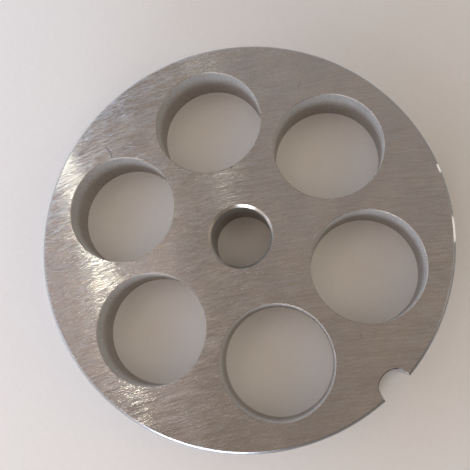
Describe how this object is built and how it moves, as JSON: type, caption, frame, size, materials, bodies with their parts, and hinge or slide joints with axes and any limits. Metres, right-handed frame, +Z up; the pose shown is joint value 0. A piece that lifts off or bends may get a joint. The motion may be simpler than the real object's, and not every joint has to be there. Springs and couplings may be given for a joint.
{
  "type": "meat grinder plate",
  "caption": "Flat round steel grinder plate with a central bore, a ring of large cutting holes and a round-bottomed key notch in its rim.",
  "frame": {"origin": "on the bore's axis at the lower face, the surface that the plate lies on", "axes": "+Z up out of the cutting face along the bore's axis, -Y out through the middle of the key notch"},
  "size_m": [0.082, 0.0819, 0.0098],
  "materials": {
    "ground_steel": "surface ground, fine arced grinding lines on both faces, turned rim and bore, drilled holes"
  },
  "bodies": {
    "root": {"grinder_plate": "ground_steel"}
  },
  "joints": []
}
